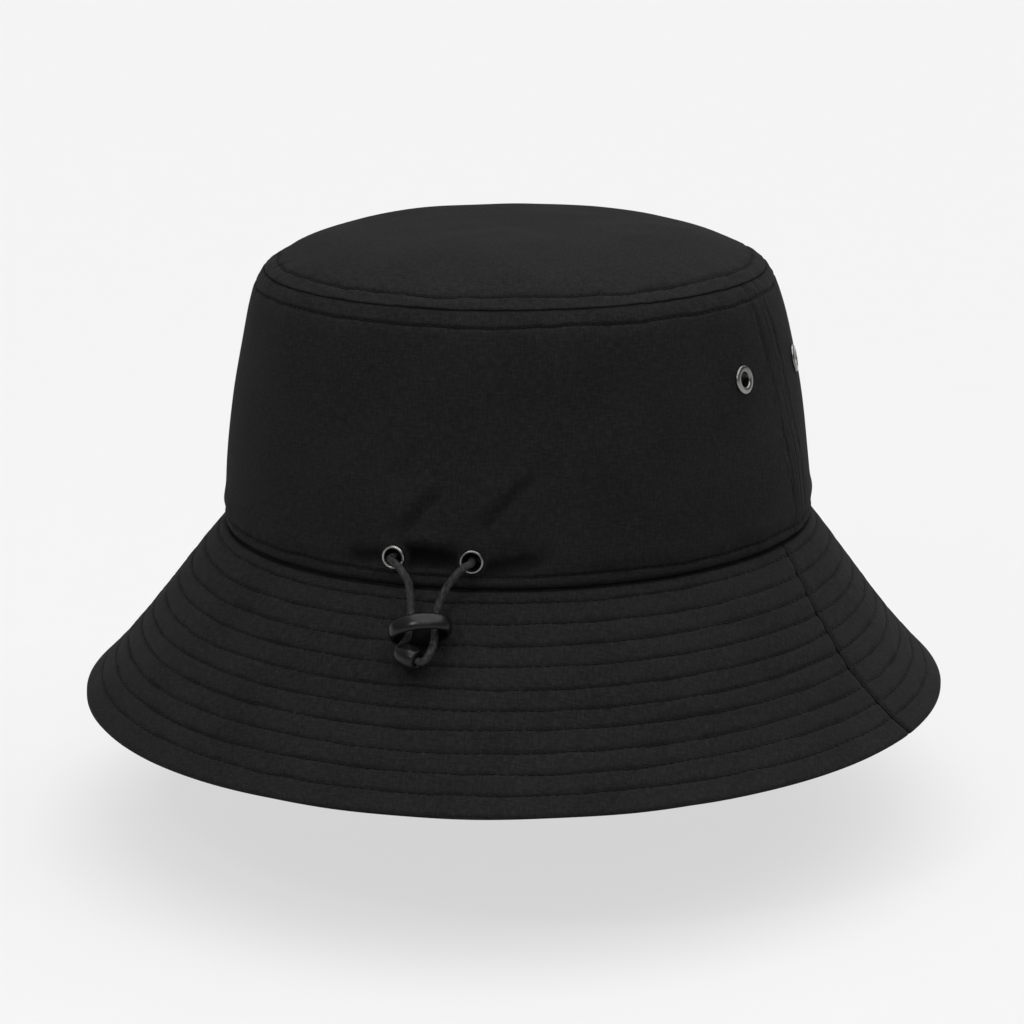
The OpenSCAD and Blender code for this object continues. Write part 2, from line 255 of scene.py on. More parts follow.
def brim_row(index, deg):
    return BRIM_ROWS[index] + wobble(deg, 24, 300 + index)


def signed(deg):
    """The angle from -180 to 180."""
    return (np.asarray(deg) + 180) % 360 - 180


def seam_side(deg):
    """The angle as if the place were on the right side, where the seams' tables are."""
    deg = signed(deg)
    return np.where(deg < 0, -deg - LEFT_SHIFT, deg)


def brim_seam_gap(deg, w):
    """Distance to the nearer side seam of the brim."""
    reach = BRIM_REACH * w / BRIM_SLOPE
    gap = seam_side(deg) - along(BRIM_SEAM, w / BRIM_SLOPE)
    return gap * np.radians(1) * (92 + reach)


def brim_wave(deg, w):
    """The slow wave of the whole brim, up and down."""
    height = 0.55 * ring_noise(deg, w / 38, 11, 20) + 0.2 * ring_noise(deg, w / 14, 37, 21)
    return height * ease(w / 30)


def brim_detail(deg, w, seed):
    """Quilting of one face of the brim: stitch rows, puckers and side seams."""
    nearest = np.full(np.shape(w), 1e3)
    creases = 0.0
    for index in range(len(BRIM_ROWS)):
        gap = w - brim_row(index, deg)
        nearest = np.where(np.abs(gap) < np.abs(nearest), gap, nearest)
        creases += puckers(deg, gap, 230, 30 + 7 * index + seed)
    height = sewn(nearest) + creases
    seam = brim_seam_gap(deg, w)
    height += 0.15 * bell(np.abs(seam) - 2.6, 2.4) - 0.9 * bell(seam, 0.4)
    height -= 0.7 * bell(w, 0.7)
    return np.maximum(height, -DEEPEST_CREASE) * ease((EDGE_START + 1.2 - w) / 3 + 0.35)


def brim_relief(deg, w):
    return brim_wave(deg, w) + brim_detail(deg, w, 0)


def under_wave(deg, w):
    return -brim_wave(deg, w - UNDER_SHIFT)


def under_relief(deg, w):
    return under_wave(deg, w) + brim_detail(deg, w - UNDER_SHIFT, 400)


# Creases that the drawcord pulls into the back: points (angle, height), depth and width in mm.
FOLDS = (
    (((-6.6, 12.8), (-4.9, 17.0), (-2.4, 21.6), (0.2, 25.2), (2.2, 29.0)), 1.25, 1.9),
    (((8.6, 14.5), (10.3, 19.0), (14.0, 24.9), (17.2, 29.3), (20.4, 33.8)), 1.2, 1.7),
    (((-8.6, 28.5), (-6.6, 31.5), (-4.4, 36.5), (-2.8, 41.0)), 0.7, 2.0),
    (((1.4, 46.5), (4.6, 42.0), (8.4, 36.2), (10.8, 32.6)), 0.5, 2.6),
    (((20.4, 38.0), (23.4, 44.5), (26.2, 51.5)), 0.4, 3.2),
    (((-7.4, 8.2), (-2.4, 8.2), (1.2, 7.8), (7.4, 7.0)), 4.2, 3.1),
    (((8.0, 5.4), (12.4, 6.2), (15.8, 7.2), (23.0, 8.2)), 2.8, 2.7),
    (((-8.4, 7.6), (-12.6, 7.2), (-18.0, 6.4)), 2.6, 2.1),
    (((11.0, 9.6), (14.0, 11.4), (17.5, 11.8)), 0.5, 1.6),
    (((-8.2, 12.2), (-9.8, 17.5), (-10.2, 24.0)), 0.45, 1.9),
)
# Soft ridges beside them, in the same terms
RIDGES = (
    (((-7.9, 17.0), (-6.0, 21.5), (-2.6, 26.2), (0.2, 30.6)), 0.75, 3.2),
    (((7.4, 19.5), (10.3, 25.0), (14.4, 30.0), (17.0, 33.8)), 0.8, 3.0),
    (((-5.4, 13.0), (-1.0, 13.4), (4.4, 12.6)), 1.2, 2.4),
    (((-4.4, 4.8), (0.6, 4.8), (5.0, 4.2)), 0.7, 1.3),
    (((3.6, 45.2), (7.4, 39.4), (10.2, 35.6)), 0.55, 2.4),
    (((18.4, 35.6), (22.0, 42.5), (24.8, 49.0)), 0.6, 3.6),
)
BACK_MM_PER_DEG = 1.53


def crease(deg, h, points, depth, width):
    """Depth of a crease along a line of points, tapered towards both of its ends."""
    line = np.array(points) * (BACK_MM_PER_DEG, 1)
    place = stacked(signed(deg) * BACK_MM_PER_DEG, h)
    best = np.full(np.shape(h), 1e3)
    share = np.zeros(np.shape(h))
    for i in range(len(line) - 1):
        step = line[i + 1] - line[i]
        t = np.clip((place - line[i]) @ step / (step @ step), 0, 1)
        gap = np.linalg.norm(place - line[i] - t[..., None] * step, axis=-1)
        share = np.where(gap < best, (i + t) / (len(line) - 1), share)
        best = np.minimum(best, gap)
    taper = ease(share * 3.5 + 0.15) * ease((1 - share) * 2.5 + 0.15)
    return depth * bell(best, width) * taper


def band_seam_gap(deg, h, line=BAND_SEAM):
    """Distance from a line that runs up the crown's side, such as its seam."""
    gap = seam_side(deg) - along(line, h / BAND_H)
    return gap * BACK_MM_PER_DEG


def hole_gap(deg, h, hole):
    return np.hypot(signed(deg - hole[0]) * BACK_MM_PER_DEG, h - hole[1])


def eyelet_gap(deg, h):
    """How far a place on the band is from the nearest eyelet, past its rim."""
    gaps = [hole_gap(deg, h, hole) - VENT_RIM_R for hole in VENTS]
    gaps += [hole_gap(deg, h, hole) - CORD_RIM_R for hole in CORD_HOLES]
    return np.minimum.reduce(gaps)


def painted_shade_share(height, depth, seams=()):
    """Painted shade: how much a crease is darkened, by its height against the cloth round it, and
    a seam by its gap.
    """
    painted_shade = 1 - np.exp(-np.maximum(-height - CREASE_SHADE_START, 0) / depth)
    for gap in seams:
        painted_shade = np.maximum(painted_shade, SEAM_PAINTED_SHADE * bell(gap, SEAM_PAINTED_SHADE_WIDTH))
    return painted_shade


def band_wave(deg, h):
    """The slow unevenness of the crown's side."""
    height = 0.65 * ring_noise(deg, h / 42, 9, 60) + 0.32 * ring_noise(deg, h / 19, 26, 61)
    return height * ease(h / 12) * ease((BAND_H - h) / 10)


def band_relief(deg, h):
    height = band_wave(deg, h)
    base_gap, top_gap = h - base_row(deg), h - top_row(deg)
    height -= 0.55 * bell(base_gap, 0.45) + 0.5 * bell(top_gap, 0.42)
    height += puckers(deg, base_gap, 200, 62, 0.34) + puckers(deg, top_gap, 190, 63, 0.3)
    height += (0.55 + 0.3 * ring_noise(deg, 0, 60, 64)) * bell(base_gap - 3.6, 2.8)
    slanted = ring_noise(deg - 2.0 * (BAND_H - h), 0.5, 70, 66)
    height += 0.30 * bell(base_gap + 1.9, 1.1)
    height += (0.05 + 0.3 * slanted) * bell(top_gap - 2.1, 1.4)
    seam = band_seam_gap(deg, h)
    height += 0.24 * bell(seam, 4.4)
    for line in (BAND_ROW_BACK, BAND_ROW_FRONT):
        gap = band_seam_gap(deg, h, line)
        height -= 0.5 * bell(gap, 0.45)
        height += 0.34 * noise(h / 2.6, gap / 4, 65) * bell(gap, 2.6)
    for fold in FOLDS:
        height -= crease(deg, h, *fold)
    for ridge in RIDGES:
        height += crease(deg, h, *ridge)
    height += puckers(deg, BAND_H - h, 170, 67, 0.3)
    height -= bell(h, 0.8) + 0.3 * bell(BAND_H - h, 0.35)
    flat = ease(eyelet_gap(deg, h) / 1.4)
    return height * flat - 0.05 * (1 - flat)


def base_row(deg):
    return BASE_ROW + wobble(deg, 30, 310)


def top_row(deg):
    return TOP_ROW + wobble(deg, 28, 311)


TIP_MEAN = (TOP_LEN + TOP_WID) / 2


def tip_row(deg):
    return 1 - (TIP_ROW + 1.4 * wobble(deg, 26, 312)) / TIP_MEAN


def tip_wave(deg, t):
    place = oval_point(tip_oval(t), deg)
    height = 0.55 * noise(place[..., 0] / 34, place[..., 1] / 34, 70)
    height += 0.22 * noise(place[..., 0] / 13, place[..., 1] / 13, 71)
    return height * ease((1 - t) * TIP_MEAN / 14)


def tip_relief(deg, t):
    height = tip_wave(deg, t)
    edge = (1 - t) * TIP_MEAN
    gap = (tip_row(deg) - t) * TIP_MEAN
    height += puckers(deg, gap, 190, 72, 0.34) - 0.5 * bell(gap, 0.42)
    slanted = ring_noise(deg + 2.4 * gap, 0.5, 52, 73)
    height += (0.05 + 0.42 * slanted) * bell(gap + 2.2, 1.6)
    return height + puckers(deg, edge, 170, 67, 0.3) - 0.3 * bell(edge, 0.35)


BAND = Cloth(band_oval, band_relief, 1)
TIP = Cloth(tip_oval, tip_relief, -1)
BRIM = Cloth(brim_oval, brim_relief, -1)
UNDER = Cloth(lambda w: brim_oval(w, under=True), under_relief, 1)


# ---- meshes ----


def add_object(name, data):
    obj = bpy.data.objects.new(name, data)
    bpy.context.scene.collection.objects.link(obj)
    return obj


def mesh_object(name, points, faces, uvs=None):
    """A mesh object from points in mm; uvs has one pair to each face corner."""
    mesh = bpy.data.meshes.new(name)
    mesh.from_pydata((np.asarray(points) * MM).tolist(), [], faces)
    if uvs is not None:
        layer = mesh.uv_layers.new(name="cloth")
        layer.data.foreach_set("uv", np.asarray(uvs, np.float32).ravel())
    mesh.polygons.foreach_set("use_smooth", [True] * len(mesh.polygons))
    mesh.validate()
    return add_object(name, mesh)


def mark_painted_shade(obj, values):
    """Stores how much painted shade the material puts on each point."""
    layer = obj.data.attributes.new("painted_shade", "FLOAT", "POINT")
    layer.data.foreach_set("value", np.asarray(values, np.float32))


def grid_faces(rows, cols, wrap):
    """Corner indices of a grid's quads, facing the way that the outer face does."""
    index = np.arange(rows * cols).reshape(rows, cols)
    right = np.roll(index, -1, axis=1) if wrap else index[:, 1:]
    left = index if wrap else index[:, :-1]
    return stacked(left[:-1], right[:-1], right[1:], left[1:]).reshape(-1, 4)


def closed_quads(rows, cols):
    """The same for a grid that closes both ways."""
    index = np.arange(rows * cols).reshape(rows, cols)
    right, below = np.roll(index, -1, axis=1), np.roll(index, -1, axis=0)
    return stacked(index, right, np.roll(below, -1, axis=1), below).reshape(-1, 4)


def corner_uvs(faces, uv, turn=None):
    """UVs by face corner; turn is what u gains in a full turn, for faces that close a ring."""
    out = uv[faces]
    if turn:
        u = out[..., 0]
        split = (u.max(axis=1) - u.min(axis=1)) > turn / 2
        u[split] = np.where(u[split] < turn / 2, u[split] + turn, u[split])
    return out


def shell(name, outer, inner, uv, keep=None, wrap=False, turn=None, flip=False, painted_shade=None):
    """A closed shell between two matching grids of points, [row, column, 3].

    keep says which quads are there, so that the shell can have holes; each hole and edge
    gets a wall."""
    rows, cols = outer.shape[:2]
    count = rows * cols
    quads = grid_faces(rows, cols, wrap)
    if keep is not None:
        quads = quads[keep.ravel()]
    ends = np.roll(quads, -1, axis=1)
    there = (quads * count + ends).ravel()
    back = (ends * count + quads).ravel()
    open_edge = ~np.isin(there, back)
    a, b = quads.ravel()[open_edge], ends.ravel()[open_edge]
    walls = stacked(b, a, a + count, b + count)
    faces = np.concatenate([quads, quads[:, ::-1] + count, walls])
    if flip:
        faces = faces[:, ::-1]
    points = np.concatenate([outer.reshape(-1, 3), inner.reshape(-1, 3)])
    uv = np.concatenate([uv.reshape(-1, 2)] * 2)
    corners = corner_uvs(faces, uv, turn)
    used, faces = np.unique(faces, return_inverse=True)
    obj = mesh_object(name, points[used], faces.reshape(-1, 4).tolist(), corners)
    # Painted shade, stored for the points of both grids.
    if painted_shade is not None:
        mark_painted_shade(obj, np.tile(painted_shade.ravel(), 2)[used])
    return obj


def ply(name, outer, inner, uv, flip, painted_shade):
    """A closed sheet whose hidden inner grid has fewer rows than its outer one."""
    rows, cols = outer.shape[:2]
    inner_rows = inner.shape[0]
    count = rows * cols
    over = grid_faces(rows, cols, False)
    below = grid_faces(inner_rows, cols, False)[:, ::-1] + count
    at = np.arange(cols - 1)
    first = stacked(at + 1, at, at + count, at + count + 1)
    low, deep = (rows - 1) * cols + at, count + (inner_rows - 1) * cols + at
    last = stacked(low, low + 1, deep + 1, deep)
    quads = np.concatenate([over, below, first, last])
    starts = [r * cols for r in range(rows)]
    inner_starts = [count + r * cols for r in range(inner_rows)]
    left = starts + inner_starts[::-1]
    right = [start + cols - 1 for start in starts[::-1] + inner_starts]
    faces = quads.tolist() + [left, right]
    if flip:
        faces = [face[::-1] for face in faces]
    points = np.concatenate([outer.reshape(-1, 3), inner.reshape(-1, 3)])
    inner_uv = uv[np.linspace(0, rows - 1, inner_rows).round().astype(int)]
    uv = np.concatenate([uv.reshape(-1, 2), inner_uv.reshape(-1, 2)])
    obj = mesh_object(name, points, faces, uv[np.concatenate(faces)])
    # Painted shade on the outer grid only; the hidden inner grid gets none.
    mark_painted_shade(obj, np.concatenate([painted_shade.ravel(), np.zeros(inner_rows * cols)]))
    return obj


LATHE_STEPS = 72


def lathe(profile, steps=LATHE_STEPS):
    """Points and faces of a closed profile, (radius, height), turned about Z."""
    radius, height = np.array(profile, float).T[..., None]
    turn = np.linspace(0, 2 * np.pi, steps, endpoint=False)
    points = stacked(radius * np.cos(turn), radius * np.sin(turn), height)
    return points.reshape(-1, 3), closed_quads(len(profile), steps)


def placed(points, origin, axis):
    """The points with their Z along the axis, moved to the origin."""
    z = unit(axis)
    x = unit(np.cross((0.0, 0.0, 1.0), z))
    return points @ np.stack([x, np.cross(z, x), z]) + origin


def shade_inside(obj, inside):
    """The faces that inside picks, of each part of a piece, take its second material: painted
    shade.
    """
    mesh = obj.data
    flags = np.resize(np.asarray(inside, np.int32), len(mesh.polygons))
    mesh.polygons.foreach_set("material_index", flags)


def arc(centre, radius, start, end, steps):
    angles = np.radians(np.linspace(start, end, steps))
    return [
        (centre[0] + radius * math.cos(a), centre[1] + radius * math.sin(a)) for a in angles
    ]


def smooth_route(points, step):
    """Points close together on a smooth line through the route's points."""
    p = np.array(points, float)
    p = np.concatenate([[2 * p[0] - p[1]], p, [2 * p[-1] - p[-2]]])
    out = []
    for i in range(1, len(p) - 2):
        n = max(2, int(np.linalg.norm(p[i + 1] - p[i]) / step))
        t = np.arange(n)[:, None] / n
        a, b, c, d = p[i - 1 : i + 3]
        bend, twist = 2 * a - 5 * b + 4 * c - d, 3 * b - a - 3 * c + d
        out.append(0.5 * (2 * b + (c - a) * t + bend * t**2 + twist * t**3))
    return np.concatenate(out + [p[-2:-1]])


def length_of(line):
    return np.concatenate([[0], np.cumsum(np.linalg.norm(np.diff(line, axis=0), axis=1))])


def carried_frames(line, up):
    """Side and top of each point of a line, turned as little as can be."""
    tangent = unit(np.gradient(line, axis=0))
    side = np.empty_like(line)
    side[0] = unit(np.cross(tangent[0], up))
    for i in range(1, len(line)):
        side[i] = unit(side[i - 1] - tangent[i] * (side[i - 1] @ tangent[i]))
    return side, np.cross(side, tangent)


# ---- threads ----

THREAD_R, THREAD_LIFT, THREAD_GAP = 0.2, 0.15, 0.1
SEAM_R, SEAM_LIFT = 0.42, 0.5
STITCH_SHARES = np.array([0.0, 0.16, 0.5, 0.84, 1.0])
STITCH_DIP = np.array([-0.37, -0.05, 0.0, -0.05, -0.37])


def stitch_row(cloth, deg, v, gap=THREAD_GAP, dip=1.0, radius=THREAD_R, lift=THREAD_LIFT):
    """Stitches along a line on a cloth: rings of five points, [stitch, ring, 5, 3].

    gap is the bare share at each end of a stitch, and dip how much its ends sink in."""
    line = cloth.at(deg, v)
    normal = cloth.normal(deg, v)
    run = length_of(line)
    count = int(run[-1] // STITCH_PITCH)
    pitch = run[-1] / count
    at = (np.arange(count)[:, None] + gap + (1 - 2 * gap) * STITCH_SHARES) * pitch
    centre, up = (
        stacked(*(np.interp(at, run, column) for column in values.T)) for values in (line, normal)
    )
    up = unit(up)
    ahead = unit(np.gradient(centre, axis=1))
    side = unit(np.cross(ahead, up))
    centre = centre + up * (lift + dip * STITCH_DIP)[:, None]
    radius = radius * np.array([1 - 0.3 * dip, 1, 1.1, 1, 1 - 0.3 * dip])[:, None, None]
    turn = np.arange(5) * 2 * np.pi / 5
    return (
        centre[:, :, None]
        + side[:, :, None] * (radius * np.cos(turn)[:, None])
        + up[:, :, None] * (radius * np.sin(turn)[:, None])
    )


def stitches(name, rows):
    """One object of all the stitches of several rows."""
    rings = np.concatenate(rows)
    count = len(rings)
    base = np.arange(count)[:, None, None] * 25
    a = np.arange(4)[:, None] * 5 + np.arange(5)
    b = np.arange(4)[:, None] * 5 + (np.arange(5) + 1) % 5
    quad = stacked(a, a + 5, b + 5, b).reshape(-1, 4)
    sides = (base + quad).reshape(-1, 4)
    caps = np.array([[4, 3, 2, 1, 0], [20, 21, 22, 23, 24]])
    caps = (base + caps).reshape(-1, 5)[:, ::-1]
    return mesh_object(name, rings.reshape(-1, 3), sides.tolist() + caps.tolist())


# ---- the view ----

AIM = Vector((-1.08, -0.57, 49.7)) * MM
EYE = Vector((215.8, -898.7, 270.8)) * MM
LENS, SENSOR, ROLL = 110.53, 36.0, math.radians(0.11)
FLOOR_Z = -42.0


def facing(direction):
    """A turn that points a camera's or a light's back along the direction."""
    return direction.to_track_quat("Z", "Y").to_matrix().to_4x4()


camera = add_object("camera", bpy.data.cameras.new("camera"))
camera.data.lens, camera.data.sensor_width, camera.data.clip_end = LENS, SENSOR, 50
roll = Matrix.Rotation(ROLL, 4, "Z")
camera.matrix_world = Matrix.Translation(EYE) @ facing(EYE - AIM) @ roll
bpy.context.scene.camera = camera

# ---- the drawcord: the same points as the CAD model's ----

HINGE = (-99.2, 58.9)
LOOP_ROUTE = [
    (-11.3, *HINGE), (-10.3, -100.9, 58.7), (-8.6, -102.3, 58.1), (-6.6, -103.5, 56.4),
    (-4.9, -104.4, 54.0), (-4.1, -105.4, 51.4), (-3.6, -106.4, 49.0), (-3.1, -108.0, 46.3),
    (-2.8, -109.7, 44.5), (-2.6, -111.6, 42.8), (-2.7, -113.2, 41.0), (-3.8, -114.0, 39.4),
    (-4.8, -114.3, 38.2), (-5.1, -114.3, 37.3), (-4.3, -114.6, 37.0), (-2.4, -115.8, 36.7),
    (-0.5, -116.9, 36.4), (1.4, -118.1, 36.1), (2.4, -118.5, 36.0), (3.3, -118.5, 36.4),
    (4.1, -118.0, 37.3), (4.7, -116.9, 38.7), (4.9, -115.3, 39.9), (4.8, -113.6, 41.0),
    (4.5, -111.8, 42.5), (4.1, -109.9, 44.2), (3.9, -107.9, 46.5), (4.2, -106.4, 48.9),
    (5.0, -105.4, 51.4), (6.4, -104.4, 54.0), (8.2, -103.4, 56.5), (9.9, -102.0, 58.2),
    (10.9, -100.7, 58.8), (11.3, *HINGE),
]
CORD_UP = (0, -0.767, 0.639)
HIDDEN_DEPTH = 2.3
STRANDS, STRAND_PITCH, STRAND_RELIEF = 8, 1.5, 0.07


def in_channel(deg, depth):
    return oval_point(band_oval(CORD_HOLE_H, depth), deg)


def run_depth(deg):
    """The hidden run lies deeper behind the creases beside the eyelets."""
    return HIDDEN_DEPTH + 1.5 * bell(min(deg, 360 - deg) - 15, 12)


def braided_cord(name, line):
    """A round braided cord: a tube whose strands stand out in a lattice of long diamonds."""
    around = 48
    run = length_of(line)
    side, top = carried_frames(line, np.array(CORD_UP))
    turn = np.arange(around) * 2 * np.pi / around
    strands = np.cos(STRANDS * turn) * np.cos(2 * np.pi * run / STRAND_PITCH)[:, None]
    radius = (CORD_R - 0.04 + STRAND_RELIEF * strands)[..., None]
    points = line[:, None] + radius * (
        side[:, None] * np.cos(turn)[:, None] + top[:, None] * np.sin(turn)[:, None]
    )
    quads = grid_faces(len(line), around, True)
    count = len(line) * around
    caps = [list(range(around)), list(range(count - 1, count - around - 1, -1))]
    uv = stacked(turn * CORD_R, run[:, None]).reshape(-1, 2)
    corners = corner_uvs(quads, uv, 2 * np.pi * CORD_R).reshape(-1, 2)
    corners = np.concatenate([corners] + [uv[cap] for cap in caps])
    return mesh_object(name, points.reshape(-1, 3), quads.tolist() + caps, corners)


stub = [in_channel(-CORD_HOLE_DEG, depth) for depth in (1.9, 0.6, -0.5)]
other_stub = [in_channel(CORD_HOLE_DEG, depth) for depth in (-0.5, 0.6, 1.9)]
loop_line = smooth_route(stub + LOOP_ROUTE + other_stub, 0.13)
cord_loop = braided_cord("drawcord", loop_line)
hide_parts("drawcord_loop")
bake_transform(cord_loop)

run_turn = [(7.25, 1.9), (7.9, 2.9), (9.6, 3.5), (13, 3.8)]
run_route = [in_channel(deg, depth) for deg, depth in run_turn]
run_route += [in_channel(deg, run_depth(deg)) for deg in range(17, 344, 3)]
run_route += [in_channel(-deg, depth) for deg, depth in reversed(run_turn)]
cord_run = braided_cord("drawcord_in_channel", smooth_route(run_route, 0.6))
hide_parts("drawcord_hidden_run")
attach(cord_run, "hat")

# ---- crown ----


def arc_table():
    deg = np.linspace(-360, 720, 4321)
    step = np.linalg.norm(np.diff(oval_point(band_oval(37.0), deg), axis=0), axis=1)
    return deg, np.concatenate([[0], np.cumsum(step)])


ARC_DEG, ARC_MM = arc_table()
ARC_TURN = np.interp(360, ARC_DEG, ARC_MM) - np.interp(0, ARC_DEG, ARC_MM)


def ring_mm(deg):
    """Distance round the side band, for its weave."""
    return np.interp(deg, ARC_DEG, ARC_MM)


def uneven(stops, fine, coarse, reach, centres):
    """Values from the first stop to the last, close together near the centres."""
    out, value = [], stops[0]
    while value < stops[1]:
        out.append(value)
        near = min(abs(value - c) for c in centres)
        value += fine if near < reach else coarse
    return np.array(out + [stops[1]])


BAND_ROWS = uneven((0.0, BAND_H), 0.34, 0.8, 1.8, (0.2, BASE_ROW, TOP_ROW, BAND_H))


def panel_grid(seam, shares, at_back, cols):
    """Angles of a panel whose side edges follow a leaning seam; rows are shares of it."""
    right = along(seam, shares)[:, None]
    left = -right - LEFT_SHIFT
    start, end = (left, right) if at_back else (right, 360 + left)
    return mix(start + SEAM_HALF_GAP, end - SEAM_HALF_GAP, np.linspace(0, 1, cols))


def hole_mask(deg, h):
    """Which quads of a band grid are kept: those away from the eyelets' barrels."""
    deg = (deg[:-1, :-1] + deg[1:, 1:]) / 2
    h = (h[:-1, :-1] + h[1:, 1:]) / 2
    keep = np.ones(deg.shape, bool)
    for holes, radius in ((VENTS, VENT_R + 0.75), (CORD_HOLES, CORD_HOLE_R + 0.6)):
        for hole in holes:
            keep &= hole_gap(deg, h, hole) > radius
    return keep


def crown_panel(name, at_back):
    deg = panel_grid(BAND_SEAM, BAND_ROWS / BAND_H, at_back, CROWN_COLS)
    h = np.broadcast_to(BAND_ROWS[:, None], deg.shape)
    uv = stacked(ring_mm(deg), h)
    outer = BAND.at(deg, h)
    inner = BAND.at(deg, h, -CROWN_CLOTH)
    # Painted shade in the creases, along the stitched rows and at the top edge.
    seams = (h - base_row(deg), h - top_row(deg), h - BAND_H)
    painted_shade = painted_shade_share(band_relief(deg, h) - band_wave(deg, h), BAND_CREASE_SHADE, seams)
    # Painted shade: the crown's side, below its top row, is a little darker, as if less lit than
    # the top.
    painted_shade = np.maximum(painted_shade, SIDE_PAINTED_SHADE * ease((TOP_ROW + 1 - h) / 6))
    return shell(name, outer, inner, uv, hole_mask(deg, h), painted_shade=painted_shade)


TIP_ROWS = uneven(
    (0.0, TIP_MEAN - 0.25), 0.4, 1.5, 1.7, (TIP_MEAN, TIP_MEAN - TIP_ROW, TIP_MEAN - 2)
) / TIP_MEAN


def crown_tip():
    """The top panel, whose rows run out from its middle."""
    deg, t = np.meshgrid(full_turn(TIP_COLS), TIP_ROWS)
    uv = oval_point(tip_oval(t), deg)[..., :2]
    outer = TIP.at(deg, t)
    inner = TIP.at(deg, t, -CROWN_CLOTH)
    # Painted shade in the creases, along the stitched row and at the edge.
    seams = ((t - tip_row(deg)) * TIP_MEAN, (1 - t) * TIP_MEAN)
    painted_shade = painted_shade_share(tip_relief(deg, t) - tip_wave(deg, t), TIP_CREASE_SHADE, seams)
    tip = shell("crown_top", outer, inner, uv, wrap=True, flip=True, painted_shade=painted_shade)
    weld(tip)
    return tip


def weld(obj):
    """The innermost row's points all lie at the middle: they become one."""
    mesh = bmesh.new()
    mesh.from_mesh(obj.data)
    bmesh.ops.remove_doubles(mesh, verts=mesh.verts, dist=1e-7)
    mesh.to_mesh(obj.data)
    mesh.free()


crown = {
    "crown_panel_back": crown_panel("crown_back", True),
    "crown_panel_front": crown_panel("crown_front", False),
    "crown_tip": crown_tip(),
}

# ---- lining ----


def sweatband_offset(deg, h):
    """The sweatband bows inward round the drawcord, and stays inside the cloth's creases."""
    inward = np.maximum(channel(h), -np.minimum(band_relief(deg, h), 0))
    ripple = 0.3 * ring_noise(deg, h / 14, 30, 80) + 0.12 * ring_noise(deg, h / 5, 90, 82)
    return -(CROWN_CLOTH + 0.3 + inward + ripple * ease(h / 6))


def channel(h):
    share = np.asarray(h) / BAND_H
    return CHANNEL_DEPTH * np.sin(np.pi * np.clip(share / CHANNEL_TOP, 0, 1))


def sweatband():
    rows = np.linspace(0.05, SWEATBAND_TOP, 60)
    deg, h = np.meshgrid(full_turn(LINING_COLS), rows)
    uv = stacked(ring_mm(deg), h)
    out = Cloth(band_oval, sweatband_offset, 1)
    thick = 0.7 + 0.2 * bell(h - SWEATBAND_TOP, 1.6) - 0.16 * bell(h - SWEATBAND_TOP + 2.6, 0.5)
    thick += 0.1 * ring_noise(deg, h / 8, 70, 81)
    inner = out.base(deg, h) + out.normal(deg, h) * (sweatband_offset(deg, h) - thick)[..., None]
    return shell("sweatband_cloth", out.at(deg, h), inner, uv, wrap=True, turn=ARC_TURN)


def tape(name, from_deg, to_deg, low, high, cols, wrap=False):
    """A strip of lining tape along the inside of the side band."""
    rows = np.linspace(low, high, max(8, round((high - low) / 0.9)))
    deg, h = np.meshgrid(np.linspace(from_deg, to_deg, cols + wrap)[:cols], rows)
    uv = stacked(ring_mm(deg), h)
    edge = np.minimum(h - low, high - h)
    if not wrap:
        across = (deg - from_deg) * (to_deg - deg) / (to_deg - from_deg)
        edge = np.minimum(edge, across * BACK_MM_PER_DEG * 1.1)
    thick = 0.30 + 0.22 * ease(edge / 0.7) - 0.14 * bell(edge - 1.5, 0.4)
    outer = BAND.at(deg, h, -CROWN_CLOTH - LINING_GAP)
    inner = BAND.at(deg, h, -CROWN_CLOTH - LINING_GAP - thick)
    return shell(name, outer, inner, uv, wrap=wrap, turn=ARC_TURN)


lining = {
    "sweatband": sweatband(),
    "top_seam_tape": tape("tape_top", 0, 360, TAPE_LOW, TAPE_TOP, LINING_COLS, wrap=True),
    "side_seam_tape_left": tape("tape_left", -105, -95, SWEATBAND_TOP, TAPE_LOW, 22),
    "side_seam_tape_right": tape("tape_right", 75, 85, SWEATBAND_TOP, TAPE_LOW, 22),
}

# ---- brim ----

TOP_END = EDGE_START + EDGE_R * math.pi / 2 - 0.03
UNDER_END = TOP_END + UNDER_SHIFT
FLAT_CONE = 145.0


def brim_uv(deg, w, middle):
    """Where the cloth lay before it was sewn into a cone: its weave is straight."""
    swing = np.radians(deg - middle) * SLOPE_OUT
    far = FLAT_CONE + w
    return stacked(far * np.sin(swing), -far * np.cos(swing))


def brim_ply(name, cloth, wave, end, shift, at_back):
    centres = [0.0, end] + [row + shift for row in BRIM_ROWS]
    rows = uneven((0.0, end), 0.4, 0.95, 1.0, centres)
    deg = panel_grid(BRIM_SEAM, np.minimum(rows / BRIM_SLOPE, 1), at_back, BRIM_COLS)
    w = np.broadcast_to(rows[:, None], deg.shape)
    few = np.linspace(0, len(rows) - 1, 24).round().astype(int)
    inner = Cloth(cloth.oval, wave, cloth.facing).at(deg[few], w[few], -PLY_BACK)
    uv = brim_uv(deg, w, 0 if at_back else 180)
    # Painted shade along the brim's stitch rows, seams and creases.
    painted_shade = painted_shade_share(brim_detail(deg, w - shift, 0), BRIM_CREASE_SHADE)
    return ply(name, cloth.at(deg, w), inner, uv, cloth is BRIM, painted_shade)


upper, lower = (BRIM, brim_wave, TOP_END, 0), (UNDER, under_wave, UNDER_END, UNDER_SHIFT)
brim = {
    "brim_upper_back": brim_ply("brim_back", *upper, at_back=True),
    "brim_upper_front": brim_ply("brim_front", *upper, at_back=False),
    "brim_lower_back": brim_ply("underbrim_back", *lower, at_back=True),
    "brim_lower_front": brim_ply("underbrim_front", *lower, at_back=False),
}
for node_name, piece in {**crown, **lining, **brim}.items():
    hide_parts(node_name)


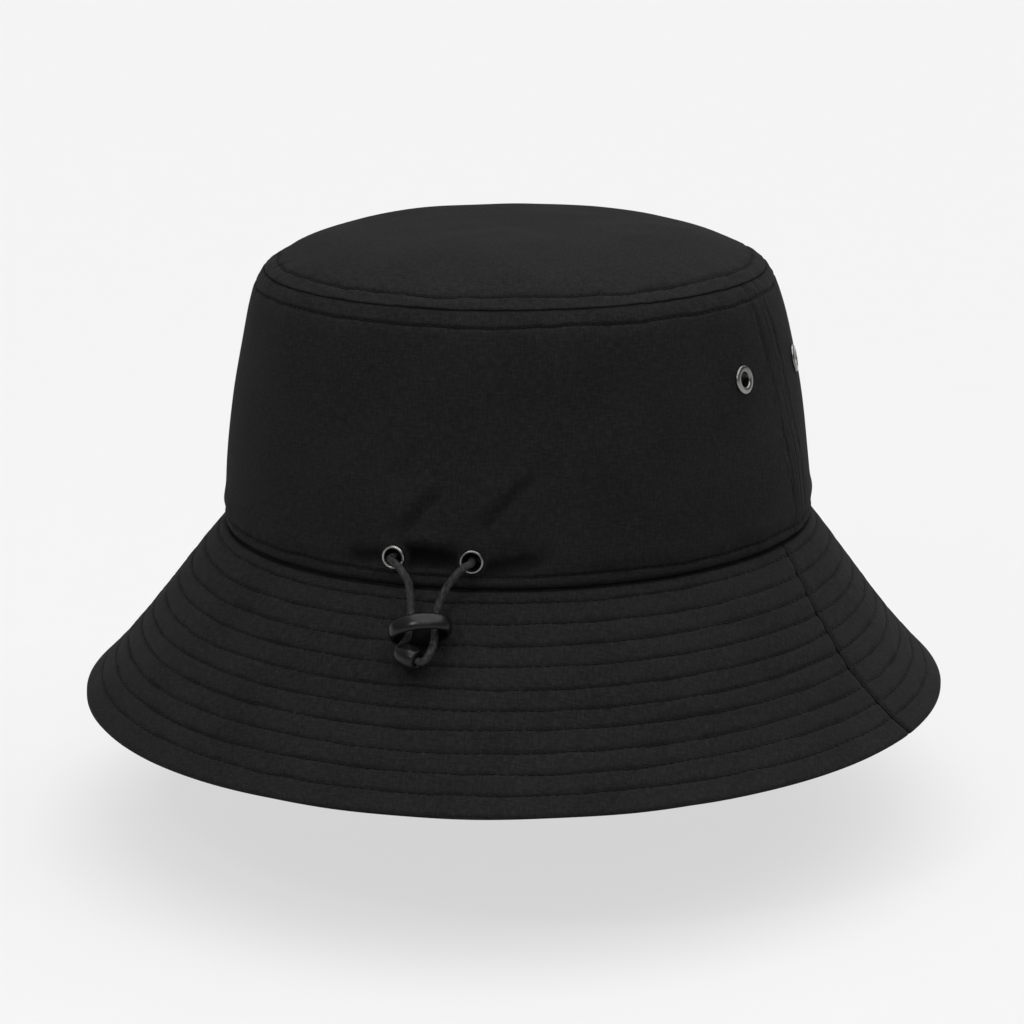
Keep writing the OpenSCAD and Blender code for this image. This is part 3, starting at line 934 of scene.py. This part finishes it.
def brim_core():
    deg, w = np.meshgrid(full_turn(CORE_COLS), np.linspace(0.4, TOP_END - 2, 40))
    place = Cloth(brim_oval, brim_wave, -1)
    outer, inner = (place.at(deg, w, -depth) for depth in (STIFFENER_TOP, STIFFENER_LOW))
    return shell("brim_core", outer, inner, brim_uv(deg, w, 180), wrap=True, flip=True)


core = brim_core()
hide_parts("brim_stiffener")

# ---- eyelets ----


def eyelet_profile(r, rim_r):
    """A domed rim with a rolled edge, a barrel and an end rolled over the washer."""
    low = -CROWN_CLOTH - WASHER_SEAT - SHEET_METAL
    mid, half = (r + rim_r) / 2 + 0.04, (rim_r - r) / 2 - 0.04
    dome = [
        (mid + half * math.cos(a), 0.10 + 0.72 * math.sin(a) ** 0.8)
        for a in np.radians(np.linspace(4, 176, 22))
    ]
    barrel = [(r + 0.02, -0.25), (r, -0.5), (r, low - 0.1)]
    roll = arc((r + 0.36, low - 0.12), 0.36, 180, 330, 10)
    back = [(r + 0.4, low + 0.04), (r + 0.34, low + 0.2), (r + 0.34, -0.04)]
    return dome + barrel + roll + back + [(rim_r - 0.12, -0.04), (rim_r - 0.02, 0.0)]


def washer_profile(r, rim_r):
    top = -CROWN_CLOTH - WASHER_SEAT
    low = top - SHEET_METAL
    inside = r + SHEET_METAL + 0.03
    round_off = 0.12
    face = [(inside, top), (inside, low + 0.05), (inside + 0.1, low)]
    face += [(rim_r - 0.7, low), (rim_r - 0.45, low + 0.06)]
    edge = arc((rim_r - round_off, low + 0.18), round_off, -90, 60, 6)
    return face + edge + [(rim_r - 0.12, top)]


def ring_set(name, holes, profile):
    """The profile turned round each hole's middle, square to the band there."""
    points, faces = lathe(profile)
    rings = [placed(points, BAND.base(*hole), BAND.normal(*hole)) for hole in np.array(holes)]
    faces = np.concatenate([faces + i * len(points) for i in range(len(rings))])
    return mesh_object(name, np.concatenate(rings), faces.tolist())


BARREL_TOP = -0.2
VENT_SIZE, CORD_HOLE_SIZE = (VENT_R, VENT_RIM_R), (CORD_HOLE_R, CORD_RIM_R)
METAL = (
    ("vent_eyelets", VENTS, eyelet_profile(*VENT_SIZE)),
    ("vent_eyelet_washers", VENTS, washer_profile(*VENT_SIZE)),
    ("cord_eyelets", CORD_HOLES, eyelet_profile(*CORD_HOLE_SIZE)),
    ("cord_eyelet_washers", CORD_HOLES, washer_profile(*CORD_HOLE_SIZE)),
)
metal = []
for node_name, holes, profile in METAL:
    piece = ring_set(node_name + "_round", holes, profile)
    # Painted shade: the barrels, rolled ends and washers, down in the cloth, take the darker copy
    # of the nickel.
    shade_inside(piece, np.repeat(np.array(profile)[:, 1] < BARREL_TOP, LATHE_STEPS))
    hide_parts(node_name)
    metal.append(piece)

# ---- stopper and bead ----

STOPPER_MIDDLE = (0.6, -112.6, 43.4)
STOPPER_TILT = 13.0
STOPPER_HALF_W, STOPPER_HALF_DEPTH = 7.55, 4.95
STOPPER_BAND, STOPPER_WALL = 4.8, 2.1


def stopper():
    """An oval ring: a wall with a rounded section that follows an ellipse."""
    steps, half = 128, 14
    around = np.linspace(0, 2 * np.pi, 2 * half, endpoint=False)
    x, z = np.cos(around), np.sin(around)
    bulge = np.where(x > 0, 1.15, 0.85)
    across = STOPPER_WALL / 2 * bulge * np.sign(x) * np.abs(x) ** 0.85
    a = np.linspace(0, 2 * np.pi, steps, endpoint=False)
    line = stacked(STOPPER_HALF_W * np.cos(a), STOPPER_HALF_DEPTH * np.sin(a), 0)
    out = unit(stacked(np.cos(a) / STOPPER_HALF_W, np.sin(a) / STOPPER_HALF_DEPTH, 0))
    points = line[:, None] + out[:, None] * across[:, None]
    points[..., 2] += STOPPER_BAND / 2 * np.sign(z) * np.abs(z) ** 0.9
    turn = Matrix.Rotation(math.atan2(BRIM_DROP, BRIM_REACH) - math.pi / 2, 3, "X")
    turn = turn @ Matrix.Rotation(-math.radians(STOPPER_TILT), 3, "Y")
    points = points.reshape(-1, 3) @ np.array(turn).T + STOPPER_MIDDLE
    faces = closed_quads(steps, 2 * half)[:, [0, 3, 2, 1]]
    ring = mesh_object("oval_stopper", points, faces.tolist())
    # Painted shade: the ring's inner wall takes the darker copy of the plastic.
    shade_inside(ring, x < -0.15)
    return ring


ring = stopper()
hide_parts("cord_stopper")
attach(ring, "stopper")

BEAD_R, BEAD_END_R, BEAD_HOLE_R = 3.3, 2.8, 1.25


def bead():
    start, end = np.array(LOOP_ROUTE[14]), np.array(LOOP_ROUTE[17])
    length = np.linalg.norm(end - start)
    outer = [(BEAD_END_R - 0.35, 0.0), (BEAD_END_R - 0.08, 0.1), (BEAD_END_R + 0.02, 0.34)]
    outer += [(BEAD_R - 0.06, length * 0.25), (BEAD_R, length * 0.32)]
    hole = [(BEAD_HOLE_R, 0.4), (BEAD_HOLE_R + 0.08, 0.12), (BEAD_HOLE_R + 0.3, 0.0)]
    other_half = [(r, length - z) for r, z in reversed(hole + outer)]
    points, faces = lathe(outer + other_half + hole, 64)
    return mesh_object("round_bead", placed(points, start, end - start), faces.tolist())


cord_end = bead()
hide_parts("cord_bead")
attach(cord_end, "cord_loop")

# ---- threads on the hat ----

AROUND = np.linspace(0, 360, 721)


def side_seam_rows(line):
    """Stitches up a line beside each side seam of the crown."""
    h = np.linspace(0.6, BAND_H - 0.5, 120)
    deg = along(line, h / BAND_H) + 0.12 * noise(h / 3.5, 0, 320)
    return [stitch_row(BAND, deg, h), stitch_row(BAND, -deg - LEFT_SHIFT, h)]


def brim_threads(name, cloth, shift):
    """The quilting rows of one face of the brim, and a line of thread down each side seam."""
    rows = []
    for index in range(len(BRIM_ROWS)):
        rows.append(stitch_row(cloth, AROUND, brim_row(index, AROUND) + shift))
    down = np.linspace(1.0, EDGE_START - 0.6, 160)
    seam = along(BRIM_SEAM, down / BRIM_SLOPE)
    for deg in (seam, -seam - LEFT_SHIFT):
        rows.append(stitch_row(cloth, deg, down + shift, 0.0, 0.0, SEAM_R, SEAM_LIFT))
    return stitches(name, rows)


threads = [
    brim_threads("brim_stitches", BRIM, 0),
    brim_threads("underbrim_stitches", UNDER, UNDER_SHIFT),
]
crown_rows = [
    stitch_row(BAND, AROUND, base_row(AROUND)),
    stitch_row(BAND, AROUND, top_row(AROUND)),
    stitch_row(TIP, AROUND, tip_row(AROUND)),
]
for line in (BAND_ROW_BACK, BAND_ROW_FRONT):
    crown_rows += side_seam_rows(line)
threads.append(stitches("crown_stitches", crown_rows))

# ---- node materials ----


def node(tree, kind, inputs=None, **settings):
    new = tree.nodes.new("ShaderNode" + kind)
    for key, value in settings.items():
        setattr(new, key, value)
    for key, value in (inputs or {}).items():
        if isinstance(value, bpy.types.NodeSocket):
            tree.links.new(value, new.inputs[key])
        else:
            new.inputs[key].default_value = value
    return new


def maths(tree, operation, a, b=0.0):
    return node(tree, "Math", {0: a, 1: b}, operation=operation).outputs[0]


def times(tree, a, b):
    return maths(tree, "MULTIPLY", a, b)


def weighted(tree, *parts):
    """The sum of pairs: a value and its weight."""
    total, *others = [times(tree, value, weight) for value, weight in parts]
    for other in others:
        total = maths(tree, "ADD", total, other)
    return total


def rescale(tree, value, low, high, to_low=0.0, to_high=1.0):
    inputs = dict(enumerate((value, low, high, to_low, to_high)))
    return node(tree, "MapRange", inputs).outputs[0]


def noise_node(tree, place, scale, detail=2.0):
    return node(tree, "TexNoise", {"Vector": place, "Scale": scale, "Detail": detail})


def stretched_noise(tree, x, y, scale_x, scale_y, detail=2.0):
    place = node(tree, "CombineXYZ", {0: times(tree, x, scale_x), 1: times(tree, y, scale_y)})
    return noise_node(tree, place.outputs[0], 1.0, detail).outputs[0]


def cloth_place(tree):
    """The place on the cloth or along the cord, in mm."""
    return node(tree, "UVMap", uv_map="cloth").outputs[0]


def blank(name):
    material = bpy.data.materials.new(name)
    material.use_nodes = True
    return material, material.node_tree, material.node_tree.nodes["Principled BSDF"]


def mixed(tree, factor, first, second):
    return node(tree, "Mix", {0: factor, 6: first, 7: second}, data_type="RGBA").outputs[2]


def tinted(tree, factor, dark, light):
    return mixed(tree, factor, (*dark, 1), (*light, 1))


def finish_look(tree, shader, colour, roughness, height, distance, specular):
    """Joins a look's parts to its shader; distance is the height's reach, in mm."""
    bump = node(tree, "Bump", {"Strength": 1.0, "Distance": distance * MM, "Height": height})
    tree.links.new(colour, shader.inputs["Base Color"])
    tree.links.new(roughness, shader.inputs["Roughness"])
    tree.links.new(bump.outputs[0], shader.inputs["Normal"])
    shader.inputs["Specular IOR Level"].default_value = specular


# The colour that painted shade in creases, along stitched lines and down the side mixes towards.
PAINTED_SHADE_COLOUR = (0.001, 0.001, 0.001, 1)


def woven(name, dark, light, pitch, twill=False, depth=0.12):
    """Matt cloth: over and under threads, thicker slubs along them and a fine fuzz."""
    material, tree, shader = blank(name)
    place = cloth_place(tree)
    wander = noise_node(tree, place, 0.22, 3.0).outputs["Color"]
    moved = node(tree, "VectorMath", {0: wander, 1: (0.9, 0.9, 0.0)}, operation="MULTIPLY")
    place = node(tree, "VectorMath", {0: place, 1: moved.outputs[0]}, operation="ADD").outputs[0]
    x, y = node(tree, "SeparateXYZ", {0: place}).outputs[:2]
    turn = math.pi / pitch
    if twill:
        diagonal = maths(tree, "ADD", x, times(tree, y, 0.8))
        weave = maths(tree, "SINE", times(tree, diagonal, turn * 1.1))
    else:
        weave = times(tree, *(maths(tree, "SINE", times(tree, axis, turn)) for axis in (x, y)))
    slubs = (stretched_noise(tree, *axes, 0.42, 1.7) for axes in ((x, y), (y, x)))
    slubs = weighted(tree, *((rescale(tree, slub, 0.42, 0.68), 0.5) for slub in slubs))
    fuzz = stretched_noise(tree, x, y, 5.5, 5.5, 3.0)
    broad = stretched_noise(tree, x, y, 0.045, 0.045, 3.0)
    height = weighted(tree, (weave, 0.12), (slubs, 0.8), (fuzz, 0.45))
    tone = weighted(tree, (weave, 0.08), (slubs, 0.65), (broad, 0.4))
    colour = tinted(tree, rescale(tree, tone, 0.05, 0.95), dark, light)
    # Painted shade: the cloth darkens towards near black by each point's stored share.
    painted_shade_fac = node(tree, "Attribute", attribute_name="painted_shade").outputs["Fac"]
    colour = mixed(tree, painted_shade_fac, colour, PAINTED_SHADE_COLOUR)
    roughness = rescale(tree, fuzz, 0.2, 0.8, 0.78, 0.96)
    finish_look(tree, shader, colour, roughness, height, depth, 0.07)
    return material


def braid_look(name, dark, light):
    """Fine filaments that run along the strands of a cord."""
    material, tree, shader = blank(name)
    x, y = node(tree, "SeparateXYZ", {0: cloth_place(tree)}).outputs[:2]
    filaments = stretched_noise(tree, x, y, 6.0, 0.5, 3.0)
    strands = stretched_noise(tree, x, y, 1.3, 0.5, 1.0)
    tone = weighted(tree, (filaments, 0.6), (strands, 0.5))
    colour = tinted(tree, rescale(tree, tone, 0.42, 0.72), dark, light)
    roughness = rescale(tree, filaments, 0.3, 0.7, 0.42, 0.68)
    finish_look(tree, shader, colour, roughness, filaments, 0.1, 0.18)
    return material


def thread_look(name, dark, light):
    """Twisted sewing thread."""
    material, tree, shader = blank(name)
    place = node(tree, "TexCoord").outputs["Object"]
    twist = noise_node(tree, place, 2600.0).outputs[0]
    wear = noise_node(tree, place, 90.0).outputs[0]
    tone = rescale(tree, weighted(tree, (twist, 0.6), (wear, 0.4)), 0.35, 0.65)
    colour = tinted(tree, tone, dark, light)
    roughness = rescale(tree, twist, 0.3, 0.7, 0.6, 0.85)
    finish_look(tree, shader, colour, roughness, twist, 0.05, 0.15)
    return material


def hard_look(name, dark, light, metallic, rough, scale, specular=0.5):
    """A polished hard surface with soft unevenness, fine scratches and handling marks."""
    material, tree, shader = blank(name)
    place = node(tree, "TexCoord").outputs["Object"]
    stretch = node(tree, "Mapping", {0: place, "Scale": (1.0, 1.0, 9.0)}).outputs[0]
    scratch = noise_node(tree, stretch, scale, 4.0).outputs[0]
    cloud = noise_node(tree, place, scale / 6, 3.0).outputs[0]
    colour = tinted(tree, rescale(tree, cloud, 0.3, 0.7), dark, light)
    scratched = rescale(tree, scratch, 0.35, 0.7, 0.0, 0.12)
    handled = rescale(tree, cloud, 0.3, 0.7, rough - 0.05, rough + 0.06)
    roughness = maths(tree, "ADD", scratched, handled)
    finish_look(tree, shader, colour, roughness, scratch, 0.012, specular)
    shader.inputs["Metallic"].default_value = metallic
    return material


cloth_look = woven("black_plain_weave", (0.0052, 0.0052, 0.0055), (0.0180, 0.0180, 0.0185), 0.38)
lining_look = woven(
    "black_twill", (0.008, 0.008, 0.0085), (0.022, 0.022, 0.023), 0.42, twill=True, depth=0.08
)
core_look = woven("interlining", (0.045, 0.045, 0.045), (0.075, 0.075, 0.075), 0.8)
sewing_thread = thread_look("black_thread", (0.0005, 0.0005, 0.0005), (0.003, 0.003, 0.0032))
cord_braid = braid_look("black_braid", (0.0008, 0.0008, 0.0008), (0.034, 0.034, 0.036))
nickel = hard_look("nickel_plate", (0.11, 0.11, 0.108), (0.29, 0.29, 0.283), 1.0, 0.2, 900.0)
# A darker, rougher copy of the nickel: painted shade for the barrels and washers.
painted_shade_nickel = hard_look("nickel_barrel_painted_shade", (0.02, 0.02, 0.02), (0.06, 0.06, 0.06), 1.0, 0.4, 900.0)
plastic = hard_look(
    "black_plastic", (0.003, 0.003, 0.0033), (0.007, 0.007, 0.0073), 0.0, 0.2, 700.0, 0.22
)
# A darker, less glossy copy of the plastic: painted shade and a weaker painted reflection inside
# the ring.
painted_shade_plastic = hard_look(
    "black_plastic_inside_painted_shade", (0.001, 0.001, 0.001), (0.003, 0.003, 0.003), 0.0, 0.6, 700.0, 0.04
)


def dress(pieces, slot, *looks, body=None):
    for piece in pieces:
        for look in looks:
            piece.data.materials.append(look)
        if body:
            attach(piece, body)


dress([*crown.values(), *brim.values()], "cloth", cloth_look, body="hat")
dress(threads, "cloth", sewing_thread, body="hat")
dress(lining.values(), "lining", lining_look, body="hat")
dress(metal, "eyelet_metal", nickel, painted_shade_nickel, body="hat")
dress([core], "stiffener", core_look, body="hat")
dress([cord_run, cord_loop], "cord", cord_braid)
dress([ring], "stopper_plastic", plastic, painted_shade_plastic)
dress([cord_end], "stopper_plastic", plastic)

# ---- studio ----


KEY_PLACE, KEY_TARGET = Vector((-200, -620, 520)) * MM, Vector((0, 0, 40)) * MM
KEY_SIZE, KEY_POWER = 0.10, 1.0
LIGHT_LEAN = 0.18
FLOOR_HALF, FLOOR_GLOW = 9000.0, 0.648


def key_box():
    """A small softbox on the camera's side: a glint on the metal and the plastic."""
    light = bpy.data.lights.new("key_box", "AREA")
    light.shape, light.energy = "RECTANGLE", KEY_POWER
    light.size = light.size_y = KEY_SIZE
    turn = facing(KEY_PLACE - KEY_TARGET)
    add_object("key_box", light).matrix_world = Matrix.Translation(KEY_PLACE) @ turn


def sky():
    """A soft overhead light, dim above the pale strip that meets the floor at the horizon."""
    world = bpy.data.worlds.new("studio")
    bpy.context.scene.world = world
    world.use_nodes = True
    tree = world.node_tree
    up = node(tree, "SeparateXYZ", {0: node(tree, "TexCoord").outputs["Generated"]}).outputs[2]
    background = tree.nodes["Background"]
    background.inputs["Color"].default_value = (1, 1, 1, 1)
    overhead_glow = rescale(tree, up, 0.0, 1.0, 0.03, 0.55)
    strip = rescale(tree, up, 0.0, 0.2, 0.93, 0.1)
    tree.links.new(maths(tree, "MAXIMUM", overhead_glow, strip), background.inputs["Strength"])


sky()


def overhead(name, power, tilt, spread):
    """A wide, even light from above, a little to +X and tilted along Y.

    power is about what it adds to level paper."""
    light = bpy.data.lights.new(name, "SUN")
    tilt, light.angle = math.radians(tilt), math.radians(spread)
    light.energy = power * math.pi / math.cos(tilt)
    towards = Vector((LIGHT_LEAN, math.sin(tilt), math.cos(tilt)))
    add_object(name, light).matrix_world = facing(towards)


overhead("top_light", 0.88, 0, 80)
overhead("back_light", 0.10, 45, 50)
overhead("front_light", 0.09, -45, 40)
key_box()


def floor():
    """Level paper, with a glow of its own that evens out the light on it."""
    signs = ((-1, -1), (1, -1), (1, 1), (-1, 1))
    corners = [(x * FLOOR_HALF, y * FLOOR_HALF, FLOOR_Z) for x, y in signs]
    plane = mesh_object("floor", corners, [[0, 1, 2, 3]])
    material, tree, shader = blank("pale_paper")
    grain = noise_node(tree, node(tree, "TexCoord").outputs["Object"], 60.0, 3.0).outputs[0]
    colour = tinted(tree, grain, (0.176, 0.176, 0.176), (0.184, 0.184, 0.184))
    finish_look(tree, shader, colour, rescale(tree, grain, 0, 1, 0.85, 0.95), grain, 0.02, 0.0)
    shader.inputs["Emission Color"].default_value = (1, 1, 1, 1)
    shader.inputs["Emission Strength"].default_value = FLOOR_GLOW
    plane.data.materials.append(material)
    return plane


floor()
view = bpy.context.scene.view_settings
view.view_transform, view.look, view.exposure, view.gamma = "Standard", "None", 0.0, 1.0
